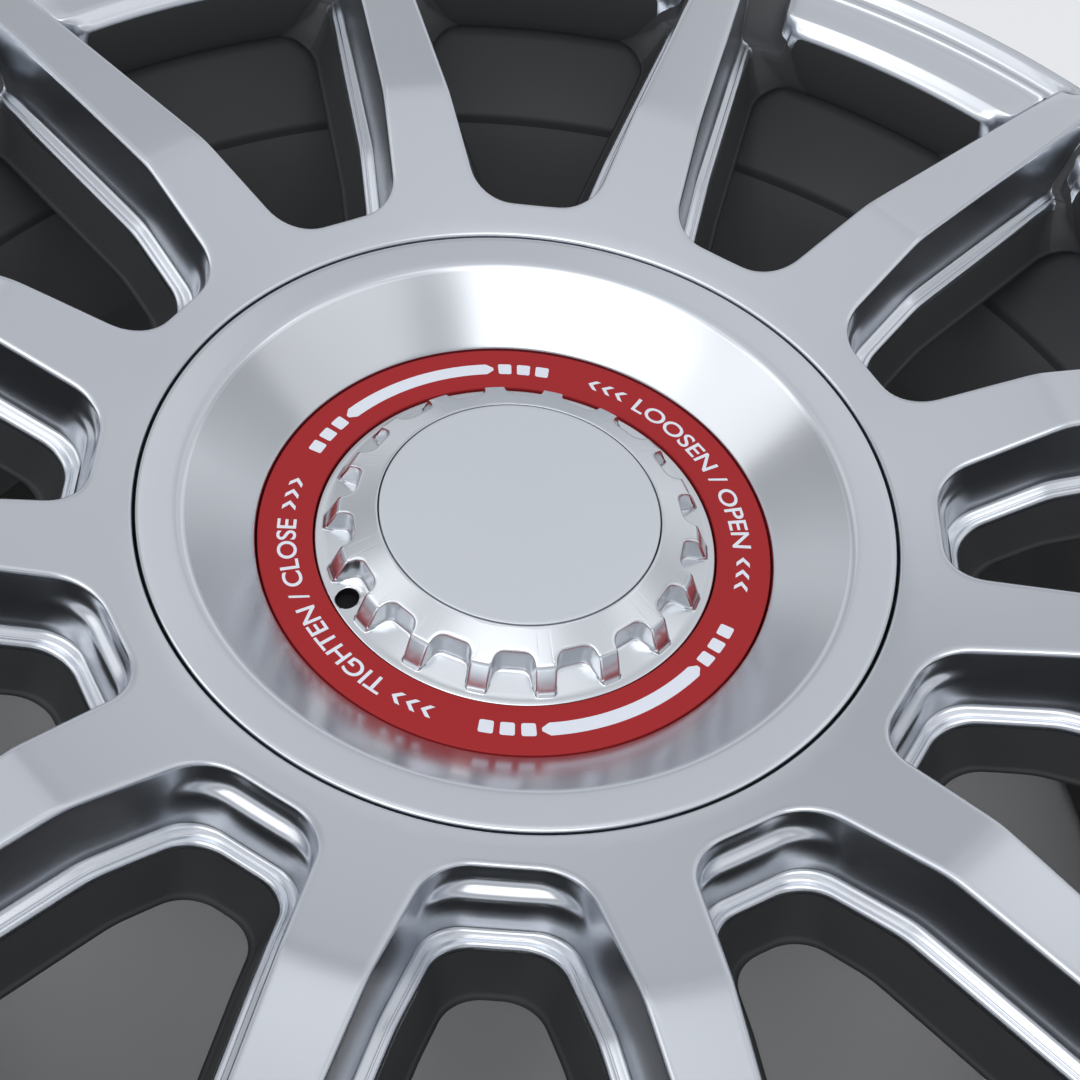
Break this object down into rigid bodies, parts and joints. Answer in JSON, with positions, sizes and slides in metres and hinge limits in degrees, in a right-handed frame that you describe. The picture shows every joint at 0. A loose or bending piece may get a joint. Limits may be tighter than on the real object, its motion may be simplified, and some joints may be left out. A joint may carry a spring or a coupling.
{
  "type": "alloy wheel",
  "caption": "Satin silver cast alloy road wheel with slim drafted spokes, a dished centre cover, a red lock ring and a scalloped centre nut, lying face up.",
  "frame": {"origin": "centre of the hub's mounting pad, on the wheel's axis", "axes": "+Z along the wheel's axis towards the street side; -Y through the valve hole's window"},
  "size_m": [0.5171, 0.5172, 0.24],
  "materials": {
    "wheel_silver": "satin",
    "cover_silver": "satin",
    "black_rubber": "matte",
    "ring_red": "satin",
    "nut_silver": "satin",
    "disc_silver": "satin",
    "plain_steel": "machined"
  },
  "bodies": {
    "root": {"wheel": "wheel_silver", "centre_cover": "cover_silver", "cover_seal": "black_rubber", "lock_ring": "ring_red", "lock_nut": "nut_silver", "centre_disc": "disc_silver", "thread_carrier": "plain_steel", "carrier_snap_ring": "plain_steel"}
  },
  "joints": []
}
